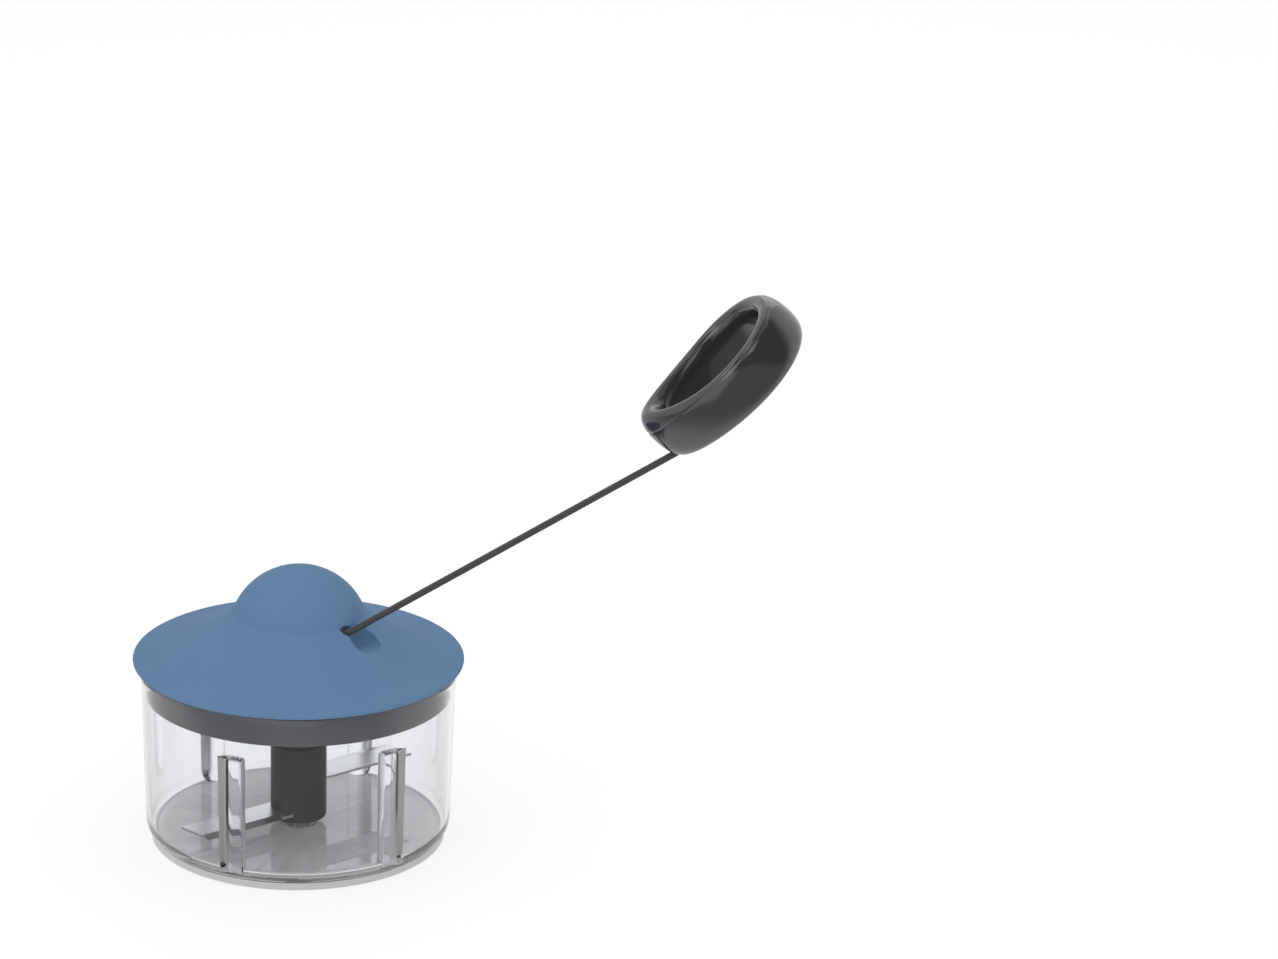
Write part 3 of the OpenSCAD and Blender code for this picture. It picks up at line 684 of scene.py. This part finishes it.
# %% Blade hub and drive shaft
turned("hub_shell", [
    (0, 26.6, 0), (5.06, 26.6, 0), (5.06, 7.5, 0.2), (10.75, 7.5, 0.7), (10.75, 38, 1.4), (5.07, 38, 0.5),
    (5.07, 28.6, 0), (0, 28.6, 0),
], hub_dark, "blades", "blade_hub", hexed=[0, 0, 0, 0, 0, 1, 1, 0], closed=False)
turned("shaft_shell", [
    (0, 29, 0), (5, 29, 0.5), (5, 38.5, 0), (10.75, 38.5, 0.7), (10.75, 57.6, 0.6), (7, 57.6, 0), (7, 79, 0),
    (5, 79, 0), (5, 85.5, 0.4), (0, 85.5, 0),
], hub_dark, "reel", "drive_shaft", hexed=[0, 1, 1, 0, 0, 0, 0, 1, 1, 0], closed=False)

# %% Foot and seal
turned("foot_shell", [
    (0, 0, 0), (56.4, 0, 0.7), (56.4, 2.94, 0.15), (55.6, 2.34, 0), (54.8, 1.92, 0), (53.8, 1.6, 0), (52.4, 1.5, 0),
    (0, 1.5, 0),
], soft_clear, "bowl", "foot_pad", closed=False)
turned("seal_ring", [
    (58.6, 70, 0.2), (59.8, 70, 0.2), (59.8, 71, 0.2), (58.6, 71, 0.2)
], seal_grey, "lid", "rim_seal")

# %% Eyelet
bead = rounded(np.array([
    (1.75, 12.49, 0.2), (2.75, 12.49, 0.2), (2.75, 16.49, 0.2), (2.4, 16.49, 0.15), (1.75, 14.49, 0.6)
]) * mm)
bead_turn = np.linspace(0, 2 * np.pi, 48, endpoint=False)[:, None]
eyelet = skin("eyelet_bead", np.stack(np.broadcast_arrays(
    bead[:, 1], cord_y + bead[:, 0] * np.cos(bead_turn), cord_z + bead[:, 0] * np.sin(bead_turn)
), -1), wrap_u=True, wrap_v=True)
eyelet.data.materials.append(eyelet_black)
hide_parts("cord_eyelet")
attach(eyelet, "lid")

# %% [markdown]
# The handle is a loop for the fingers, moulded as a deep shell with a shallow cap, and the seam between the two
# runs round close to its top. It could be a bent torus, but its inside and outside are different ovals and its
# nose is deeper than its tail. So one formula gives every point from the angle round the loop and the angle
# round the section, and both shells are parts of that one skin, pulled in a little where they meet.

# %% Handle's place and section
handle_l, handle_w, handle_t = 70 * mm, 44 * mm, 20 * mm
pitch, roll = math.radians(49), math.radians(6.5)
along = np.array([math.cos(pitch), 0, math.sin(pitch)])
upward = np.array([
    -math.sin(pitch) * math.cos(roll), -math.sin(roll), math.cos(pitch) * math.cos(roll)
])
sideways = np.cross(upward, along)
centre_along, centre_up = 31.6 * mm, 7.73 * mm
handle_centre = nose_at + centre_along * along + centre_up * upward
hole_off, hole_shorter, rail = 1 * mm, 22 * mm, 6 * mm
tail_widening, nose_swell, nose_flat, box_power = 0.25, 0.37, 0.05, 0.85
seam_nose, seam_side, seam_gap = 0.35 * handle_t, 0.44 * handle_t, 0.04 * mm
groove_depth, groove_half = 0.7 * mm, 0.45 * mm
print("handle centre", np.round(handle_centre, 4))


def boxy(wave):
    """A cosine or sine: its size to the power `box_power` with its sign kept, which makes a round section boxier."""
    return np.sign(wave) * np.abs(wave) ** box_power


def loop_skin(t, share, lower):
    """Halfway between an outer and an inner oval plus the boxy cosine times half their distance, at the height of
    the boxy sine times the half height. The ovals widen towards the tail, and the upper half swells at the nose.
    The seam dips at the nose, and near it the width shrinks by a bell curve to leave a fine groove."""
    c, s = np.cos(t), np.sin(t)
    wide = s * (1 + tail_widening * c)
    outer = np.stack([handle_l / 2 * c, handle_w / 2 * wide], -1)
    inner = np.stack([hole_off + (handle_l - hole_shorter) / 2 * c, (handle_w / 2 - rail) * wide], -1)
    nose = np.clip(-c, 0, None) ** 2
    half, half_under = handle_t / 2 * (1 + nose_swell * nose), handle_t / 2 * (1 - nose_flat * nose)
    level = seam_side + (seam_nose - seam_side) * nose + (-seam_gap if lower else seam_gap)
    lift = np.arcsin((level / half) ** (1 / box_power))
    f = np.pi - lift + (np.pi + 2 * lift) * share if lower else lift + (np.pi - 2 * lift) * share
    across = boxy(np.cos(f))
    height = boxy(np.sin(f)) * np.where(np.sin(f) > 0, half, half_under)
    width = np.linalg.norm(outer - inner, axis=-1)
    across = across * (1 - groove_depth / width * np.exp(-((height - level) / groove_half) ** 2))
    plan = (outer + inner) / 2 + across[..., None] * (outer - inner) / 2
    return handle_centre + plan[..., :1] * along + plan[..., 1:] * sideways + height[..., None] * upward


# %% Two shells of the handle
loop_turn = np.linspace(0, 2 * np.pi, 260, endpoint=False)[:, None]
shells = []
for name, node, lower, count in (("handle_shell", "handle_body", True, 56), ("handle_top", "handle_cap", False, 40)):
    share = (1 - np.cos(np.linspace(0, np.pi, count))) / 2
    shell = skin(name, loop_skin(loop_turn, share[None], lower), wrap_u=True, wrap_v=True, sharp=50)
    shell.data.materials.append(handle_dark)
    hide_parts(node)
    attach(shell, "handle")
    shells.append(shell)
print("handle shells:", [s.name for s in shells])

# %% [markdown]
# The other pieces are right as the frame brings them: flat blades, pins, bushes, the drum and the spring. They
# only need a finish in place of the plain colour they came with.

# %% Finishes for the frame's own pieces
for material, names in (
    (blade_steel, ("lower_blade", "upper_blade")),
    (pin_steel, ("pivot_pin", "cover_screws", "axle_pin", "shaft_pin", "spring_plate")),
    (spring_steel, ("rewind_spring",)),
    (acetal, ("hub_bush", "lower_bush", "cord_drum", "axle_washer")),
    (cord_dark, ("cord_knot",)),
):
    for name in names:
        nodes[name].data.materials.clear()
        nodes[name].data.materials.append(material)
print("frame pieces dressed")

# %% [markdown]
# The chopper stands on a plain white table in even studio light. A white floor lit hard enough to look white
# would wash the object out, so the floor is pale and, for the camera, for mirrors and through clear plastic, part
# of it glows at a strength of one. It keeps the soft shadow. The world does the same: white to look at, and a
# plain level to light by. Clear plastic in front of an all-white room has no outline, so a photographer puts grey
# flags at the sides, and moves them with the camera: here the glow grows greyer for rays that the clear plastic
# bends far to the left or right. The dark room behind the camera does the same for mirrored rays that come back,
# and gives the gloss its contrast. A patch of the floor in front on the left, outside the picture, and a band of
# the world to one side stay white for mirrored rays: a painted highlight that draws the light edge along the
# handle's seam.

# %% What a ray sees of the studio
flag_from, flag_full, flag_depth = 0.24, 0.7, 0.9
room_from, room_full, room_depth = -0.1, 0.35, 0.88
floor_glow, world_light = 0.72, 0.9


def rays(tree):
    """Three wires of ones and zeros: is a ray seen at all, by the camera, in a mirror or through clear plastic;
    was it mirrored; was it bent."""
    kinds = tree.nodes.new("ShaderNodeLightPath").outputs
    direct, mirrored, bent = (Wire(tree, kinds[f"Is {kind} Ray"]) for kind in ("Camera", "Glossy", "Transmission"))
    return direct.math("MAXIMUM", mirrored).math("MAXIMUM", bent), mirrored, bent


def way_back(ray):
    """The direction back along a ray, as the camera sees it: its shares to the side, up and into the picture."""
    world_way = ray.make("ShaderNodeNewGeometry", out="Incoming")
    spaces = {"vector_type": "VECTOR", "convert_from": "WORLD", "convert_to": "CAMERA"}
    return ray.make("ShaderNodeVectorTransform", spaces, {"Vector": world_way}).parts()


def step(share, low, high, depth=1.0):
    """A soft step from 0 to the depth while the share goes from low to high."""
    return share.make("ShaderNodeMapRange", {"interpolation_type": "SMOOTHSTEP"}, {
        "Value": share, "From Min": low, "From Max": high, "To Min": 0.0, "To Max": depth
    })


def flags(mirrored, bent, back, seam_highlight_zone):
    """White, less a soft step of a ray's sideways share for bent rays, and of its share towards the camera for
    mirrored rays, save those in the highlight zone, which stays white as a painted highlight."""
    sides = bent * step(back[0].math("ABSOLUTE"), flag_from, flag_full, flag_depth)
    dark_room = mirrored * step(back[2], room_from, room_full, room_depth) * (1 - seam_highlight_zone)
    return (sides + dark_room).between((1, 1, 1, 1), (0, 0, 0, 1))


# %% Floor
table_half, table_z = 4, -0.2 * mm
table = skin("table_top", np.array([
    [[x, y, table_z] for y in (-table_half, table_half)] for x in (-table_half, table_half)
]))
if table.data.polygons[0].normal.z < 0:
    table.data.flip_normals()
table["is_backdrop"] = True
table_white, place, feed = new_finish("table_white", {"Roughness": 0.75, "Specular IOR Level": 0.2})
feed(Base_Color=place.noise(3, 2.0).between(paint(250, 250, 250), paint(253, 253, 253)))
tree = table_white.node_tree
seen, mirrored, bent = rays(tree)
spot_x, spot_y = seen.make("ShaderNodeNewGeometry", out="Position").parts()[:2]
# Painted highlight: a patch of the floor in front on the left stays white for mirrored rays, so the handle's seam
# mirrors it as a light edge.
seam_highlight_zone = step(spot_x, 0.12, 0.05) * step(spot_y, -0.25, -0.31)
white = flags(mirrored, bent, way_back(seen), seam_highlight_zone)
glow = seen.make("ShaderNodeEmission", (), {"Color": white, "Strength": 1.0})
mixed = seen.make("ShaderNodeMixShader", (), {
    0: seen * floor_glow, 1: Wire(tree, tree.nodes["Principled BSDF"].outputs[0]), 2: glow
})
tree.links.new(mixed.socket, tree.nodes["Material Output"].inputs["Surface"])
table.data.materials.append(table_white)

# %% World
world = bpy.data.worlds.new("studio")
bpy.context.scene.world = world
world.use_nodes = True
tree = world.node_tree
seen, mirrored, bent = rays(tree)
back = way_back(seen)
background = tree.nodes["Background"]
# The same painted highlight in the world: mirrored rays far to one side stay white.
tree.links.new(flags(mirrored, bent, back, step(back[0], 0.25, 0.4)).socket, background.inputs["Color"])
tree.links.new((seen * (1 - world_light) + world_light).socket, background.inputs["Strength"])
print("world:", world.name)


# %% Lamps
def softbox(name, place, target, size, watts):
    """A square lamp that faces a target."""
    data = bpy.data.lights.new(name, "AREA")
    data.shape, data.size, data.energy = "SQUARE", size, watts
    lamp = bpy.data.objects.new(name, data)
    way = Vector(target) - Vector(place)
    lamp.matrix_world = Matrix.Translation(place) @ way.to_track_quat("-Z", "Y").to_matrix().to_4x4()
    bpy.context.scene.collection.objects.link(lamp)
    print("lamp", name, watts, "W")


on_lid, on_cord, on_handle = (0.03, 0, 0.09), (0.1, 0, 0.15), (0.16, -0.04, 0.19)
softbox("top", (-0.15, -0.1, 1.5), on_lid, 1.5, 3)
softbox("back", (0.4, 1.3, 1.1), on_lid, 1.0, 2)
softbox("fill", (-0.9, -0.9, 0.75), on_cord, 0.6, 1.5)
softbox("front", (0.1, -1.5, 1.2), on_lid, 0.8, 3)
softbox("strip", (-0.43, -1.39, 0.32), on_handle, 0.4, 0.8)

# %% Picture settings and sizes
bpy.context.scene.view_settings.view_transform = "Standard"
visual_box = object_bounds()
largest = float(np.abs(np.array(cad_box) - np.array(visual_box)).max())
print("largest difference of the boxes:", round(largest / mm, 2), "mm")
